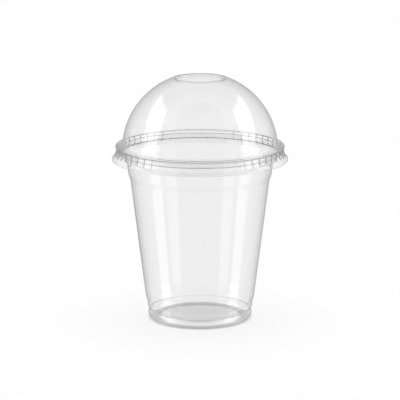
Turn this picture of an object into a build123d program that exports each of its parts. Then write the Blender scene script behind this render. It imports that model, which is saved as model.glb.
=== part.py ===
"""Clear cold-drink cup and its domed lid, each formed from one sheet of PET.

Two pieces: the cup, and the lid that snaps over the cup's rolled rim.
Millimetres, +Z up, origin on the cup's axis in the plane that the foot stands on.
"""
from build123d import *
import os
from math import cos, pi, sin

# --- sheet -------------------------------------------------------------------
CUP_WALL = 0.30
LID_WALL = 0.25

# --- cup: radii are of the outer face, heights are above the standing plane ----
PANEL_R, PANEL_Z = 22.8, 2.6          # raised middle of the bottom
FOOT_IN_R, FOOT_OUT_R = 25.3, 29.3    # flat ring that the cup stands on
BULGE_R, BULGE_LOW_Z, BULGE_TOP_Z = 30.9, 2.2, 4.4   # round edge of the foot
WAIST_R, WAIST_Z = 30.2, 5.3          # sharp groove above the foot
BAND_R, BAND_LOW_Z, BAND_TOP_Z = 31.35, 7.7, 9.9
WALL_LOW_R, WALL_LOW_Z = 32.5, 13.5   # the plain wall starts here
WALL_TOP_R, WALL_TOP_Z = 41.35, 84.6  # and ends here
LEDGE_R, LEDGE_Z = 42.55, 87.8        # ledge that stops stacked cups from jamming
NECK_R, NECK_Z = 43.2, 94.2           # top of the band above the ledge
SHOULDER_R, SHOULDER_Z = 45.5, 97.0   # the mouth has opened out here

# --- cup's rolled rim ----------------------------------------------------------
RIM_R = 48.9                          # a rim of the 98 mm family
ROLL_R = 1.6                          # outer radius of the curl
ROLL_Z = 101.6                        # height of the curl's centre
ROLL_TURN = 290.0                     # degrees that the sheet curls through

# --- lid: radii and heights are of the outer face --------------------------------
HOLE_R, HOLE_LIP_Z = 14.35, 143.6     # straw hole, and the low edge of its lip
RING_R, RING_TOP_Z = 16.3, 145.1      # raised ring round the hole
RING_FOOT_R = 16.8
DOME_R, DOME_CENTRE_Z = 46.3, 101.6
DOME_FOOT_Z = 106.6
CREASE_R, CREASE_Z = 46.4, 105.5      # dome meets flange
BEAD_R, BEAD_TOP_Z, BEAD_LOW_Z = 50.15, 104.8, 103.9   # smooth round edge of the flange
SKIRT_R = 49.9                        # the plain lands between the flutes
HEM_R, HEM_TOP_Z, HEM_LOW_Z = 50.25, 100.2, 99.1       # plain ring under the flutes
BRIM_R, BRIM_TOP_Z, BRIM_LOW_Z = 52.1, 97.3, 96.4      # flare that a thumb lifts the lid by

# --- flutes pressed into the skirt -------------------------------------------------
FLUTES = 55
FLUTE_DEPTH = 0.45
GROOVE_MOUTH, GROOVE_FLOOR = 0.28, 0.08   # widths as shares of the pitch
STEP_R = SKIRT_R - LID_WALL - FLUTE_DEPTH   # inner edge of the steps above and below the flutes


def turned_sheet(line, wall):
    """Turn a sheet round the axis. The line is its outer face and the wall is on its left."""
    section = make_face(Plane.XZ * offset(line, wall, side=Side.LEFT))
    return revolve(section, Axis.Z)


def dome_r(height):
    """Radius of the dome's outer face at a height."""
    return (DOME_R**2 - (height - DOME_CENTRE_Z) ** 2) ** 0.5


def dome_z(radius):
    """Height of the dome's outer face at a radius."""
    return DOME_CENTRE_Z + (DOME_R**2 - radius**2) ** 0.5


def cup():
    """One sheet, from the raised bottom to the free edge of the curl."""
    sheet_r = ROLL_R - CUP_WALL
    roll_centre_r = RIM_R - ROLL_R
    body = FilletPolyline(
        (0, PANEL_Z),
        (PANEL_R, PANEL_Z),
        (FOOT_IN_R, 0),
        (FOOT_OUT_R, 0),
        (BULGE_R, BULGE_LOW_Z),
        (BULGE_R, BULGE_TOP_Z),
        (WAIST_R, WAIST_Z),
        (BAND_R, BAND_LOW_Z),
        (BAND_R, BAND_TOP_Z),
        (WALL_LOW_R, WALL_LOW_Z),
        (WALL_TOP_R, WALL_TOP_Z),
        (LEDGE_R, LEDGE_Z),
        (NECK_R, NECK_Z),
        (SHOULDER_R, SHOULDER_Z),
        (roll_centre_r - sheet_r, ROLL_Z),
        radius=[0.8, 0.6, 0.6, 1.5, 0.5, 0.2, 0.4, 0.6, 0.8, 0.6, 0.5, 0.4, 0.7],
    )
    curl = CenterArc((roll_centre_r, ROLL_Z), sheet_r, 180, -ROLL_TURN)
    return turned_sheet(Wire(body.edges() + curl.edges()), CUP_WALL)


def dome():
    """The lid's sheet from the step under the bead to the free edge of the hole's lip."""
    foot = (dome_r(DOME_FOOT_Z), DOME_FOOT_Z)
    crown = (RING_FOOT_R, dome_z(RING_FOOT_R))
    flange = FilletPolyline(
        (STEP_R, BEAD_LOW_Z),
        (BEAD_R, BEAD_LOW_Z),
        (BEAD_R, BEAD_TOP_Z),
        (CREASE_R, CREASE_Z),
        foot,
        radius=[0.35, 0.45, 0.3],
    )
    shell = RadiusArc(foot, crown, -DOME_R)
    ring = FilletPolyline(
        crown,
        (RING_R, RING_TOP_Z),
        (HOLE_R, RING_TOP_Z),
        (HOLE_R, HOLE_LIP_Z),
        radius=[0.3, 0.5],
    )
    return turned_sheet(Wire(flange.edges() + shell.edges() + ring.edges()), LID_WALL)


def fluted_disc(inset):
    """Flat disc with the skirt's outline: plain lands with a narrow groove between each two."""
    pitch = 2 * pi / FLUTES
    land_r = SKIRT_R - inset
    floor_r = land_r - FLUTE_DEPTH
    groove = [
        (-GROOVE_MOUTH / 2, land_r),
        (-GROOVE_FLOOR / 2, floor_r),
        (GROOVE_FLOOR / 2, floor_r),
        (GROOVE_MOUTH / 2, land_r),
    ]
    points = []
    for flute in range(FLUTES):
        for share, radius in groove:
            angle = (flute + share) * pitch
            points.append((radius * cos(angle), radius * sin(angle)))
    return make_face(Polyline(*points, close=True))


def skirt():
    """The fluted wall, from the middle of the step below it to the middle of the one above."""
    low_z = HEM_TOP_Z - LID_WALL / 2
    top_z = BEAD_LOW_Z + LID_WALL / 2
    ring = fluted_disc(0) - fluted_disc(LID_WALL)
    return Pos(0, 0, low_z) * extrude(ring, top_z - low_z)


def brim():
    """The flare, the hem and the step under the flutes."""
    line = FilletPolyline(
        (BRIM_R, BRIM_LOW_Z),
        (BRIM_R, BRIM_TOP_Z),
        (HEM_R, HEM_LOW_Z),
        (HEM_R, HEM_TOP_Z),
        (STEP_R, HEM_TOP_Z),
        radius=[0.5, 0.4, 0.4],
    )
    return turned_sheet(line, LID_WALL)


def lid():
    """One sheet, from the lip of the straw hole to the free edge of the brim."""
    return dome() + skirt() + brim()


PIECES = {"cup": cup, "dome_lid": lid}

os.makedirs("parts", exist_ok=True)
for node, build in PIECES.items():
    export_step(build(), f"parts/{node}.step")
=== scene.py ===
"""Looks of a clear cold-drink cup and its dome lid, both formed from PET sheet.

Metres, +Z up, origin on the cup's axis in the plane that the foot stands on.
Each piece is one sheet: its half section is laid out here, then a node tree turns
it round the axis and presses the grooves into the lid's skirt.
"""
from math import atan2, ceil, cos, degrees, hypot, pi, radians, sin, tan

import bpy
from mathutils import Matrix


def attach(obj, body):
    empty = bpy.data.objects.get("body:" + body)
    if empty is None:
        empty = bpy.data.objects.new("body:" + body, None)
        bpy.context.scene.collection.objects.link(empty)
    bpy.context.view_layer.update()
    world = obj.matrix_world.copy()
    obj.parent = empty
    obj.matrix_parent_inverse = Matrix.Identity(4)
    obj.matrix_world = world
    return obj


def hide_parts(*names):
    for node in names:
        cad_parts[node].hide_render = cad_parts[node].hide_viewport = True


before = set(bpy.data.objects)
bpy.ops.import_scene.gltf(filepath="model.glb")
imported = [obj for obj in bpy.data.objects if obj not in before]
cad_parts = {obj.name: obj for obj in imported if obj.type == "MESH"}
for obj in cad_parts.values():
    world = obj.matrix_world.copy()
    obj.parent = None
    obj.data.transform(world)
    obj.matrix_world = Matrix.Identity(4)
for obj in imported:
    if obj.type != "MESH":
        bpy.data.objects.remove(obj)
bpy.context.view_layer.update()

MM = 0.001

# --- cup: radii of the outer face and heights, in millimetres -------------------
CUP_WALL = 0.30
CUP_CORNERS = [                  # radius, height, radius of the bend there
    (22.8, 2.6, 0.8),            # edge of the raised bottom
    (25.3, 0.0, 0.6),            # foot ring, inside
    (29.3, 0.0, 0.6),            # foot ring, outside
    (30.9, 2.2, 1.5),            # round edge of the foot
    (30.9, 4.4, 0.5),
    (30.2, 5.3, 0.2),            # sharp groove above the foot
    (31.35, 7.7, 0.4),           # band above the groove
    (31.35, 9.9, 0.6),
    (32.5, 13.5, 0.8),           # plain wall
    (41.35, 84.6, 0.4),
    (42.55, 87.8, 0.4),          # stacking ledge
    (43.2, 94.2, 0.25),          # neck
    (45.5, 97.0, 0.7),           # shoulder
]
RIM_R, ROLL_R, ROLL_Z, ROLL_TURN = 48.9, 1.6, 101.6, 290.0
CUP_STEPS = 256

# --- lid ------------------------------------------------------------------------
LID_WALL = 0.25
HOLE_R, HOLE_LIP_Z = 14.35, 143.6
RING_R, RING_TOP_Z, RING_FOOT_R = 16.3, 145.1, 16.8
DOME_R, DOME_CENTRE_Z, DOME_FOOT_Z = 46.3, 101.6, 106.6
CREASE_R, CREASE_Z = 46.4, 105.5
BEAD_R, BEAD_TOP_Z, BEAD_LOW_Z = 50.15, 104.8, 104.0     # round edge of the flange
SKIRT_R, SKIRT_TOP_Z, SKIRT_LOW_Z = 49.75, 103.85, 101.2
HEM_R, HEM_TOP_Z, HEM_LOW_Z = 50.25, 99.9, 99.1          # plain ring under the grooves
BRIM_R, BRIM_TOP_Z, BRIM_LOW_Z = 52.1, 97.3, 96.4
FLUTES, FLUTE_DEPTH = 55, 0.8
GROOVE_MOUTH, GROOVE_FLOOR = 0.16, 0.05   # widths as shares of the pitch
GROOVE_TOP_Z, GROOVE_LOW_Z = 103.7, 98.9
GROOVE_RUN_OUT = 0.7             # height over which the grooves fade out above the hem
FIT_GAP = 0.1                    # between the grooves and the cup's curl
STEPS_PER_FLUTE = 10
CROWDING = 0.75                  # how far those steps gather at the groove, from 0 to 1

BEND_STEP = 20.0                 # degrees of a bend that one facet spans
DOME_STEP = 6.0                  # and of the dome
EDGE_STEP = 60.0                 # and of a sheet's free edge
RUN_GUARD = 0.35                 # mm from a bend to the first loop on a straight run
WELD = 2e-7                      # metres within which the turned sheet's ends are joined


# --- half sections ----------------------------------------------------------------
def unit(x, y):
    """A direction of length one."""
    size = hypot(x, y)
    return x / size, y / size


def left_of(direction):
    """The direction a quarter turn to the left."""
    return -direction[1], direction[0]


def straight(start, end):
    """Points of a straight run with the way to its left, and a guard loop near each end."""
    way = unit(end[0] - start[0], end[1] - start[1])
    length = hypot(end[0] - start[0], end[1] - start[1])
    guard = min(RUN_GUARD, length / 4)
    return [
        ((start[0] + way[0] * d, start[1] + way[1] * d), left_of(way))
        for d in (0, guard, length - guard, length)
    ]


def arc(centre, radius, start, turn, step=BEND_STEP):
    """Points of an arc with the way to its left. Angles are in degrees, left turns positive."""
    count = max(2, ceil(abs(turn) / step))
    side = -1 if turn > 0 else 1
    points = []
    for i in range(count + 1):
        a = radians(start + turn * i / count)
        out = (cos(a), sin(a))
        point = (centre[0] + radius * out[0], centre[1] + radius * out[1])
        points.append((point, (side * out[0], side * out[1])))
    return points


def bent_line(corners):
    """A line through corners, each but the first and last rounded to its own radius."""
    line = []
    here = corners[0][:2]
    for before, corner, after in zip(corners, corners[1:], corners[2:]):
        come = unit(corner[0] - before[0], corner[1] - before[1])
        go = unit(after[0] - corner[0], after[1] - corner[1])
        turn = atan2(come[0] * go[1] - come[1] * go[0], come[0] * go[0] + come[1] * go[1])
        reach = corner[2] * tan(abs(turn) / 2)
        start = (corner[0] - come[0] * reach, corner[1] - come[1] * reach)
        side = left_of(come) if turn > 0 else left_of((-come[0], -come[1]))
        centre = (start[0] + side[0] * corner[2], start[1] + side[1] * corner[2])
        first = degrees(atan2(start[1] - centre[1], start[0] - centre[0]))
        bend = arc(centre, corner[2], first, degrees(turn))
        line += straight(here, start)[:-1] + bend[:-1]
        line.append(bend[-1])
        here = bend[-1][0]
    return line + straight(here, corners[-1][:2])[1:]


def distinct(line):
    """The line without points that repeat the one before."""
    kept = [line[0]]
    for point, way in line[1:]:
        if hypot(point[0] - kept[-1][0][0], point[1] - kept[-1][0][1]) > 1e-5:
            kept.append((point, way))
    return kept


def free_edge(outer, wall):
    """The rounded free edge of a sheet, from its outer face to its other face."""
    (x, y), (nx, ny) = outer
    centre = (x + nx * wall / 2, y + ny * wall / 2)
    start = degrees(atan2(-ny, -nx))
    return [point for point, _ in arc(centre, wall / 2, start, 180, EDGE_STEP)[1:-1]]


def other_face(line, wall):
    """The far face of a sheet whose outer face is the line."""
    return [(p[0] + n[0] * wall, p[1] + n[1] * wall) for p, n in line]


def cup_section():
    """Half section of the cup: out from the axis, round the curl and back along the inside."""
    roll_r = RIM_R - ROLL_R
    sheet_r = ROLL_R - CUP_WALL
    corners = [(0.0, CUP_CORNERS[0][1])] + CUP_CORNERS + [(roll_r - sheet_r, ROLL_Z)]
    outer = bent_line(corners) + arc((roll_r, ROLL_Z), sheet_r, 180, -ROLL_TURN)
    outer = distinct(outer)
    points = [p for p, _ in outer] + free_edge(outer[-1], CUP_WALL)
    return points + other_face(outer, CUP_WALL)[::-1], None


def dome_height(radius):
    """Height of the dome's outer face at a radius."""
    return DOME_CENTRE_Z + (DOME_R**2 - radius**2) ** 0.5


def lid_section():
    """Half section of the lid, closed, and how deep the grooves press each point."""
    foot_r = (DOME_R**2 - (DOME_FOOT_Z - DOME_CENTRE_Z) ** 2) ** 0.5
    foot_angle = degrees(atan2(DOME_FOOT_Z - DOME_CENTRE_Z, foot_r))
    crown_z = dome_height(RING_FOOT_R)
    crown_angle = degrees(atan2(crown_z - DOME_CENTRE_Z, RING_FOOT_R))
    skirt = bent_line([
        (BRIM_R, BRIM_LOW_Z),
        (BRIM_R, BRIM_TOP_Z, 0.3),
        (HEM_R, HEM_LOW_Z, 0.4),
        (HEM_R, HEM_TOP_Z, 0.4),
        (SKIRT_R, SKIRT_LOW_Z, 0.5),
        (SKIRT_R + 0.06, (SKIRT_LOW_Z + SKIRT_TOP_Z) / 2, 1.0),
        (SKIRT_R, SKIRT_TOP_Z, 0.15),
        (BEAD_R, BEAD_LOW_Z, 0.3),
        (BEAD_R, BEAD_TOP_Z, 0.45),
        (CREASE_R, CREASE_Z, 0.2),
        (foot_r, DOME_FOOT_Z),
    ])
    shell = arc((0, DOME_CENTRE_Z), DOME_R, foot_angle, crown_angle - foot_angle, DOME_STEP)
    ring = bent_line([
        (RING_FOOT_R, crown_z),
        (RING_R, RING_TOP_Z, 0.4),
        (HOLE_R, RING_TOP_Z, 0.5),
        (HOLE_R, HOLE_LIP_Z),
    ])
    outer = distinct(skirt + shell + ring)
    lip_edge = free_edge(outer[-1], LID_WALL)
    inner = other_face(outer, LID_WALL)[::-1]
    way_in = outer[0][1]
    brim_edge = free_edge((inner[-1], (-way_in[0], -way_in[1])), LID_WALL)
    points = [p for p, _ in outer] + lip_edge + inner + brim_edge
    points.append(points[0])
    return points, [groove_share(height) for _, height in points]


def groove_share(height):
    """How deep the grooves are at a height, from 0 to 1.

    They run from under the bead to the hem, and stay clear of the cup's curl.
    """
    reach = ROLL_R + FIT_GAP
    beside_curl = max(reach**2 - (height - ROLL_Z) ** 2, 0) ** 0.5
    room = (SKIRT_R - LID_WALL - (RIM_R - ROLL_R) - beside_curl) / FLUTE_DEPTH
    over_hem = (height - GROOVE_LOW_Z) / GROOVE_RUN_OUT
    under_bead = (BEAD_LOW_Z - height) / (BEAD_LOW_Z - GROOVE_TOP_Z)
    return min(max(min(room, over_hem, under_bead), 0), 1)


# --- node trees ---------------------------------------------------------------------
MATHS = "ShaderNodeMath"
RANGE = "ShaderNodeMapRange"


def add(tree, kind, links=None, **settings):
    """Add a node with its settings, and link or set its inputs by name or number.

    An input takes a value, a socket, or a node for that node's first output.
    """
    node = tree.nodes.new(kind)
    for name, value in settings.items():
        setattr(node, name, value)
    for name, value in (links or {}).items():
        if isinstance(value, bpy.types.Node):
            value = value.outputs[0]
        if isinstance(value, bpy.types.NodeSocket):
            tree.links.new(value, node.inputs[name])
        else:
            node.inputs[name].default_value = value
    return node


def turning_tree():
    """Turn a section round Z, and press evenly spaced grooves where its points ask for them."""
    tree = bpy.data.node_groups.new("Turned sheet", "GeometryNodeTree")
    sockets = [
        ("Section", "NodeSocketGeometry"),
        ("Points", "NodeSocketInt"),
        ("Steps Round", "NodeSocketInt"),
        ("Grooves", "NodeSocketInt"),
        ("Groove Depth", "NodeSocketFloat"),
        ("Groove Mouth", "NodeSocketFloat"),
        ("Groove Floor", "NodeSocketFloat"),
        ("Crowding", "NodeSocketFloat"),
        ("Material", "NodeSocketMaterial"),
    ]
    for name, kind in sockets:
        tree.interface.new_socket(name, in_out="INPUT", socket_type=kind)
    tree.interface.new_socket("Sheet", in_out="OUTPUT", socket_type="NodeSocketGeometry")
    given = add(tree, "NodeGroupInput").outputs

    # A flat grid with a row for each point of the section.
    across = add(tree, MATHS, {0: given["Steps Round"], 1: 1}, operation="ADD")
    grid = add(tree, "GeometryNodeMeshGrid", {"Vertices X": given["Points"], "Vertices Y": across})
    index = add(tree, "GeometryNodeInputIndex")
    past_index = add(tree, MATHS, {0: index, 1: 0.5}, operation="ADD")
    rows = add(tree, MATHS, {0: past_index, 1: across}, operation="DIVIDE")
    row = add(tree, MATHS, {0: rows}, operation="FLOOR")
    row_start = add(tree, MATHS, {0: row, 1: across}, operation="MULTIPLY")
    step = add(tree, MATHS, {0: index, 1: row_start}, operation="SUBTRACT")

    # Each row takes the place of its point of the section, and the share of the grooves there.
    place = add(tree, "GeometryNodeInputPosition")
    wanted = {0: given["Section"], "Value": place, "Index": row}
    placed = add(tree, "GeometryNodeSampleIndex", wanted, data_type="FLOAT_VECTOR")
    section = add(tree, "ShaderNodeSeparateXYZ", {0: placed}).outputs
    share = add(tree, "GeometryNodeInputNamedAttribute", {"Name": "groove_share"}, data_type="FLOAT")
    wanted = {0: given["Section"], "Value": share, "Index": row}
    pressed = add(tree, "GeometryNodeSampleIndex", wanted, data_type="FLOAT")

    # Steps crowd towards each groove, where the sheet bends most.
    round_share = add(tree, MATHS, {0: step, 1: given["Steps Round"]}, operation="DIVIDE")
    turns = add(tree, MATHS, {0: round_share, 1: given["Grooves"]}, operation="MULTIPLY")
    turn_angle = add(tree, MATHS, {0: turns, 1: 2 * pi}, operation="MULTIPLY")
    wave = add(tree, MATHS, {0: turn_angle}, operation="SINE")
    reach = add(tree, MATHS, {0: given["Crowding"], 1: 2 * pi}, operation="DIVIDE")
    pull = add(tree, MATHS, {0: wave, 1: reach}, operation="MULTIPLY")
    phase = add(tree, MATHS, {0: turns, 1: pull}, operation="SUBTRACT")
    nearest = add(tree, MATHS, {0: phase}, operation="ROUND")
    to_groove = add(tree, MATHS, {0: phase, 1: nearest}, operation="SUBTRACT")
    off_groove = add(tree, MATHS, {0: to_groove}, operation="ABSOLUTE")

    half_floor = add(tree, MATHS, {0: given["Groove Floor"], 1: 0.5}, operation="MULTIPLY")
    half_mouth = add(tree, MATHS, {0: given["Groove Mouth"], 1: 0.5}, operation="MULTIPLY")
    groove = add(
        tree,
        RANGE,
        {
            "Value": off_groove,
            "From Min": half_floor,
            "From Max": half_mouth,
            "To Min": given["Groove Depth"],
            "To Max": 0.0,
        },
        interpolation_type="SMOOTHSTEP",
    )
    # A shallower groove is a narrower one, because the same V leaves the sheet sooner.
    unpressed = add(tree, MATHS, {0: 1.0, 1: pressed}, operation="SUBTRACT")
    spared = add(tree, MATHS, {0: unpressed, 1: given["Groove Depth"]}, operation="MULTIPLY")
    left = add(tree, MATHS, {0: groove, 1: spared}, operation="SUBTRACT")
    cut = add(tree, MATHS, {0: left, 1: 0.0}, operation="MAXIMUM")
    radius = add(tree, MATHS, {0: section["X"], 1: cut}, operation="SUBTRACT")

    # Clockwise from above, so that the faces point outwards.
    phase_share = add(tree, MATHS, {0: phase, 1: given["Grooves"]}, operation="DIVIDE")
    angle = add(tree, MATHS, {0: phase_share, 1: -2 * pi}, operation="MULTIPLY")
    cosine = add(tree, MATHS, {0: angle}, operation="COSINE")
    sine = add(tree, MATHS, {0: angle}, operation="SINE")
    x = add(tree, MATHS, {0: radius, 1: cosine}, operation="MULTIPLY")
    y = add(tree, MATHS, {0: radius, 1: sine}, operation="MULTIPLY")
    turned = add(tree, "ShaderNodeCombineXYZ", {"X": x, "Y": y, "Z": section["Z"]})

    sheet = add(tree, "GeometryNodeSetPosition", {0: grid, "Position": turned})
    closed = add(tree, "GeometryNodeMergeByDistance", {0: sheet, "Distance": WELD})
    smooth = add(tree, "GeometryNodeSetShadeSmooth", {0: closed})
    real = add(tree, "GeometryNodeRealizeInstances", {0: smooth})
    done = add(tree, "GeometryNodeSetMaterial", {0: real, "Material": given["Material"]})
    add(tree, "NodeGroupOutput", {0: done})
    return tree


def turned_piece(name, section, shares, tree, material, sizes):
    """A closed sheet turned from its section, as a plain mesh."""
    mesh = bpy.data.meshes.new(name + "_section")
    mesh.from_pydata([(r * MM, 0, z * MM) for r, z in section], [], [])
    attribute = mesh.attributes.new("groove_share", "FLOAT", "POINT")
    attribute.data.foreach_set("value", shares or [0.0] * len(section))
    draft = bpy.data.objects.new(name + "_draft", mesh)
    bpy.context.collection.objects.link(draft)
    modifier = draft.modifiers.new("Turned sheet", "NODES")
    modifier.node_group = tree
    values = {"Points": len(section), "Material": material, **sizes}
    for item in tree.interface.items_tree:
        if item.in_out == "INPUT" and item.name in values:
            modifier[item.identifier] = values[item.name]
    graph = bpy.context.evaluated_depsgraph_get()
    result = bpy.data.meshes.new_from_object(draft.evaluated_get(graph))
    result.name = name
    draft.modifiers.remove(modifier)
    bpy.data.objects.remove(draft)
    piece = bpy.data.objects.new(name, result)
    bpy.context.collection.objects.link(piece)
    return piece


# --- materials ------------------------------------------------------------------------
PET_IOR = 1.57
PET_TINT = "ffffff"              # water clear
PET_SHADE = "f0f0f0"             # what a lamp's light keeps on its way through one face
WAVE_DEPTH = 0.004               # mm


def linear(colour):
    """An sRGB hex colour such as "ffffff" as linear red, green, blue and 1."""
    channels = [int(colour[i : i + 2], 16) / 255 for i in (0, 2, 4)]
    red, green, blue = [c / 12.92 if c <= 0.04045 else ((c + 0.055) / 1.055) ** 2.4 for c in channels]
    return [red, green, blue, 1.0]


def blank_material(name):
    """A material with an empty tree and its output node."""
    material = bpy.data.materials.new(name)
    material.use_nodes = True
    material.node_tree.nodes.clear()
    return material, add(material.node_tree, "ShaderNodeOutputMaterial")


def formed_pet(name, tint, shade, wave_depth):
    """Amorphous PET sheet, vacuum formed: water clear and glossy, with hard bright edges.

    Stretching the hot sheet leaves faint upright waves in its thickness, which break
    the reflections up a little, and the mould leaves a trace of haze.
    """
    material, output = blank_material(name)
    tree = material.node_tree
    place = add(tree, "ShaderNodeTexCoord").outputs["Object"]
    # Waves about 9 mm apart round the wall and 45 mm tall.
    stretched = add(tree, "ShaderNodeMapping", {"Vector": place, "Scale": (1 / 9, 1 / 9, 1 / 45)})
    waves = add(tree, "ShaderNodeTexNoise", {"Vector": stretched, "Scale": 1 / MM, "Detail": 1.0})
    depth = {"Height": waves, "Strength": 1.0, "Distance": wave_depth * MM}
    bump = add(tree, "ShaderNodeBump", depth)
    # Haze in clouds about 17 mm across, never past a roughness of 0.03.
    haze = add(tree, "ShaderNodeTexNoise", {"Vector": place, "Scale": 60.0, "Detail": 3.0})
    haze_range = {"Value": haze, "From Min": 0.3, "From Max": 0.7, "To Min": 0.0, "To Max": 0.03}
    roughness = add(tree, RANGE, haze_range)
    sheet = add(
        tree,
        "ShaderNodeBsdfPrincipled",
        {
            "Base Color": linear(tint),
            "Roughness": roughness,
            "IOR": PET_IOR,
            "Transmission Weight": 1.0,
            "Normal": bump,
        },
    )
    clear = add(tree, "ShaderNodeBsdfTransparent", {"Color": linear(shade)})
    to_lamps = add(tree, "ShaderNodeLightPath").outputs["Is Shadow Ray"]
    mix = add(tree, "ShaderNodeMixShader", {0: to_lamps, 1: sheet, 2: clear})
    tree.links.new(mix.outputs[0], output.inputs["Surface"])
    return material


# --- pieces -----------------------------------------------------------------------------
tree = turning_tree()
cup_pet = formed_pet("Formed PET, cup sheet", PET_TINT, PET_SHADE, WAVE_DEPTH)
lid_pet = formed_pet("Formed PET, lid sheet", PET_TINT, PET_SHADE, WAVE_DEPTH)

section, shares = cup_section()
cup_shell = turned_piece(
    "cup_shell",
    section,
    shares,
    tree,
    cup_pet,
    {
        "Steps Round": CUP_STEPS,
        "Grooves": 1,
        "Groove Depth": 0.0,
        "Groove Mouth": GROOVE_MOUTH,
        "Groove Floor": GROOVE_FLOOR,
        "Crowding": 0.0,
    },
)
section, shares = lid_section()
lid_shell = turned_piece(
    "lid_shell",
    section,
    shares,
    tree,
    lid_pet,
    {
        "Steps Round": FLUTES * STEPS_PER_FLUTE,
        "Grooves": FLUTES,
        "Groove Depth": FLUTE_DEPTH * MM,
        "Groove Mouth": GROOVE_MOUTH,
        "Groove Floor": GROOVE_FLOOR,
        "Crowding": CROWDING,
    },
)

for shell, node, body, slot in (
    (cup_shell, "cup", "cup", "cup_pet"),
    (lid_shell, "dome_lid", "lid", "lid_pet"),
):
    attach(shell, body)
    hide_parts(node)


# --- stage ----------------------------------------------------------------------------------
BACKGROUND = "fefefe"
FLOOR_R = 6.0
FLOOR_DROP = 0.0001              # metres, so that the foot and the table don't share a plane
FLOOR_ALBEDO = 0.28
CONTACT_REACH, PAINTED_CONTACT_SHADE = 0.002, 0.33   # metres, and the most that the painted contact shadow darkens the table's colour and glow
GATHERED_LEVEL = 0.30            # level of the room in the light that falls on the table
LAMP_STRENGTH, LAMP_SPREAD = 2.12, 50
CAMERA_DISTANCE, CAMERA_AIM_Z, CAMERA_PITCH, CAMERA_VIEW = 1.4145, 0.0714, 12.354, 9.616

# What the sheet mirrors. A place in the room is how far ahead of the cup, towards the
# camera, and how far above it lies, for each step to the side.
ROOM_LEVEL = 0.50                # beside and behind the cup
FRONT_LEVEL, FRONT_FROM = 0.24, 0.45         # in front of it, between the softboxes
KEY_LOW_LEVEL, KEY_ADDED_LEVEL, KEY_ADDED_FROM = 0.42, 1.1, 0.15   # upright softboxes
KEY_BACK, KEY_FRONT, KEY_TOP = 0.0, 0.38, 1.22
KEY_BACK_LEAN, KEY_BACK_CURVE = 0.88, 1.5    # how their two edges lean back as they rise
KEY_FRONT_LEAN, KEY_FRONT_CURVE = 0.2, 3.0
FILL_LEVEL, FILL_BACK, FILL_FRONT, FILL_TOP = 0.33, 0.55, 1.2, 0.1  # low strips
UNDER_SHADE = 0.85               # share lost by what comes from straight below
UNDER_Z, UNDER_Y = -0.72, 0.15   # where that starts, in parts of a way of length one
CRISP, SOFT, SOFTER, SOFTEST = 0.05, 0.1, 0.2, 0.3   # widths of the edges of all these


def straight_sight(tree):
    """1 for what is seen directly or straight through the sheet, 0 for what is mirrored."""
    path = add(tree, "ShaderNodeLightPath").outputs
    ways = {0: path["Is Camera Ray"], 1: path["Is Transmission Ray"]}
    seen = add(tree, MATHS, ways, operation="MAXIMUM")
    direct = add(tree, MATHS, {0: path["Glossy Depth"], 1: 0.5}, operation="LESS_THAN")
    return add(tree, MATHS, {0: seen, 1: direct}, operation="MULTIPLY")


def floor_material():
    """Matt white table top: it keeps the cup's soft shadow from the lamp, carries a painted contact
    shadow beside the foot, and blends into the white room.
    """
    material, output = blank_material("White table top")
    tree = material.node_tree
    # Painted contact shadow: an ambient occlusion node darkens the table's colour and glow right
    # beside the foot.
    contact_occlusion = add(tree, "ShaderNodeAmbientOcclusion", {"Distance": CONTACT_REACH}, samples=8)
    painted_shade_span = {"Value": contact_occlusion.outputs["AO"], "To Min": 1 - PAINTED_CONTACT_SHADE, "To Max": 1.0}
    kept = add(tree, RANGE, painted_shade_span)
    shaded_white = {0: [FLOOR_ALBEDO] * 3, "Scale": kept}
    paint = add(tree, "ShaderNodeVectorMath", shaded_white, operation="SCALE")
    diffuse = add(tree, "ShaderNodeBsdfDiffuse", {"Color": paint})
    glow_level = linear(BACKGROUND)[0] - FLOOR_ALBEDO
    # The painted contact shadow dims the glow as well.
    glow_kept = add(tree, MATHS, {0: glow_level, 1: kept}, operation="MULTIPLY")
    glow = add(tree, "ShaderNodeEmission", {"Color": [1, 1, 1, 1], "Strength": glow_kept})
    lit = add(tree, "ShaderNodeAddShader", {0: diffuse, 1: glow})
    top = add(tree, "ShaderNodeMixShader", {0: straight_sight(tree), 1: diffuse, 2: lit})
    # Mirrored ways pass through it, because the room's light is placed by direction alone.
    path = add(tree, "ShaderNodeLightPath").outputs
    mirrored = add(tree, MATHS, {0: path["Glossy Depth"], 1: 0.5}, operation="GREATER_THAN")
    gone = add(tree, "ShaderNodeBsdfTransparent")
    mix = add(tree, "ShaderNodeMixShader", {0: mirrored, 1: top, 2: gone})
    tree.links.new(mix.outputs[0], output.inputs["Surface"])
    return material


def make_floor():
    """A wide round table top under the cup."""
    corners = [2 * pi * i / 96 for i in range(96)]
    mesh = bpy.data.meshes.new("table_top")
    mesh.from_pydata([(FLOOR_R * cos(a), FLOOR_R * sin(a), 0) for a in corners], [], [range(96)])
    mesh.materials.append(floor_material())
    table = bpy.data.objects.new("table_top", mesh)
    table.location.z = -FLOOR_DROP
    bpy.context.collection.objects.link(table)


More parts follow.
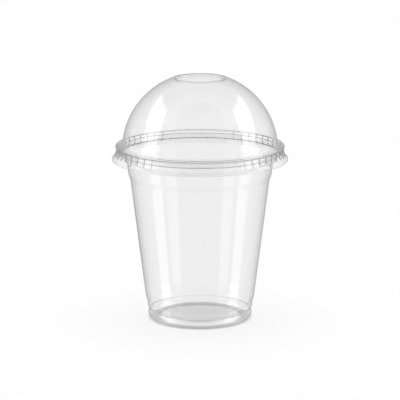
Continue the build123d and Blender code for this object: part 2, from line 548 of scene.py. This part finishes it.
def mirrored_room(tree):
    """Level of a grey room with two upright softboxes in front, leaning back, and low strips."""
    way = add(tree, "ShaderNodeTexCoord").outputs["Generated"]
    aside, back, up = add(tree, "ShaderNodeSeparateXYZ", {0: way}).outputs
    beside = add(tree, MATHS, {0: aside}, operation="ABSOLUTE")
    forward = add(tree, MATHS, {0: back, 1: -1.0}, operation="MULTIPLY")
    ahead = add(tree, MATHS, {0: forward, 1: beside}, operation="DIVIDE")
    above = add(tree, MATHS, {0: up, 1: beside}, operation="DIVIDE")
    rise = add(tree, MATHS, {0: above, 1: 0.0}, operation="MAXIMUM")
    lean = add(tree, MATHS, {0: rise, 1: KEY_BACK_CURVE}, operation="POWER")
    key_back = add(tree, MATHS, {0: lean, 1: KEY_BACK_LEAN, 2: ahead}, operation="MULTIPLY_ADD")
    lean = add(tree, MATHS, {0: rise, 1: KEY_FRONT_CURVE}, operation="POWER")
    key_front = add(tree, MATHS, {0: lean, 1: KEY_FRONT_LEAN, 2: ahead}, operation="MULTIPLY_ADD")

    # What is measured, where the edge lies on it, and how wide the edge is. The share is 1
    # past the edge, or before it where the width is negative.
    edges = {
        "key from back": (key_back, KEY_BACK, CRISP),
        "key to front": (key_front, KEY_FRONT, -CRISP),
        "key to top": (above, KEY_TOP, -SOFTEST),
        "key brighter": (above, KEY_ADDED_FROM, SOFTEST),
        "strip from back": (ahead, FILL_BACK, SOFT),
        "strip to front": (ahead, FILL_FRONT, -SOFT),
        "strip to top": (above, FILL_TOP, -SOFT),
        "in front": (ahead, FRONT_FROM, SOFT),
        "below": (up, UNDER_Z, -SOFTER),
        "not behind": (back, UNDER_Y, -SOFTER),
    }
    share = {}
    for name, (value, place, width) in edges.items():
        span = {"Value": value, "From Min": place - width / 2, "From Max": place + width / 2}
        share[name] = add(tree, RANGE, span, interpolation_type="SMOOTHSTEP")

    lights = {}
    for light, first, second, third in (
        ("key", "key from back", "key to front", "key to top"),
        ("strip", "strip from back", "strip to front", "strip to top"),
    ):
        sides = add(tree, MATHS, {0: share[first], 1: share[second]}, operation="MULTIPLY")
        lights[light] = add(tree, MATHS, {0: sides, 1: share[third]}, operation="MULTIPLY")

    brighter = {0: share["key brighter"], 1: KEY_ADDED_LEVEL, 2: KEY_LOW_LEVEL}
    key_level = add(tree, MATHS, brighter, operation="MULTIPLY_ADD")
    room = {0: share["in front"], 1: FRONT_LEVEL - ROOM_LEVEL, 2: ROOM_LEVEL}
    level = add(tree, MATHS, room, operation="MULTIPLY_ADD")
    level = add(tree, MATHS, {0: lights["strip"], 1: FILL_LEVEL, 2: level}, operation="MULTIPLY_ADD")
    level = add(tree, MATHS, {0: lights["key"], 1: key_level, 2: level}, operation="MULTIPLY_ADD")
    under = add(tree, MATHS, {0: share["below"], 1: share["not behind"]}, operation="MULTIPLY")
    kept = add(tree, MATHS, {0: under, 1: -UNDER_SHADE, 2: 1.0}, operation="MULTIPLY_ADD")
    return add(tree, MATHS, {0: level, 1: kept}, operation="MULTIPLY")


def make_world():
    """A white room to look through, and a grey one with softboxes for what is mirrored."""
    world = bpy.data.worlds.new("Studio")
    bpy.context.scene.world = world
    world.use_nodes = True
    tree = world.node_tree
    tree.nodes.clear()
    views = {0: straight_sight(tree), 2: mirrored_room(tree), 3: linear(BACKGROUND)[0]}
    seen = add(tree, "ShaderNodeMix", views, data_type="FLOAT")
    path = add(tree, "ShaderNodeLightPath").outputs
    gathered = {0: path["Is Diffuse Ray"], 2: seen, 3: GATHERED_LEVEL}
    level = add(tree, "ShaderNodeMix", gathered, data_type="FLOAT")
    back = add(tree, "ShaderNodeBackground", {"Strength": level, "Color": [1, 1, 1, 1]})
    output = add(tree, "ShaderNodeOutputWorld")
    tree.links.new(back.outputs[0], output.inputs["Surface"])


def make_lamp(name, azimuth, elevation, strength, spread):
    """A broad soft lamp that the sheet neither mirrors nor shows. Azimuth 0 is the camera's."""
    lamp = bpy.data.lights.new(name, "SUN")
    lamp.energy = strength
    lamp.angle = radians(spread)
    holder = bpy.data.objects.new(name, lamp)
    holder.rotation_euler = (radians(90 - elevation), 0, radians(azimuth))
    holder.visible_glossy = False
    holder.visible_transmission = False
    bpy.context.collection.objects.link(holder)


def make_camera():
    """In front of the cup, looking a little down at the middle of its height."""
    pitch = radians(CAMERA_PITCH)
    data = bpy.data.cameras.new("Camera")
    data.sensor_fit = "HORIZONTAL"
    data.angle = radians(CAMERA_VIEW)
    camera = bpy.data.objects.new("Camera", data)
    height = CAMERA_AIM_Z + CAMERA_DISTANCE * sin(pitch)
    camera.location = (0, -CAMERA_DISTANCE * cos(pitch), height)
    camera.rotation_euler = (pi / 2 - pitch, 0, 0)
    bpy.context.collection.objects.link(camera)
    bpy.context.scene.camera = camera


make_floor()
make_world()
make_lamp("Overhead softbox", 180, 85, LAMP_STRENGTH, LAMP_SPREAD)
make_camera()

scene = bpy.context.scene
scene.view_settings.view_transform = "Standard"
# Light crosses up to eight faces of sheet, and more at the rim and skirt.
scene.cycles.max_bounces = 40
scene.cycles.transmission_bounces = 40
scene.cycles.glossy_bounces = 12
scene.cycles.transparent_max_bounces = 40
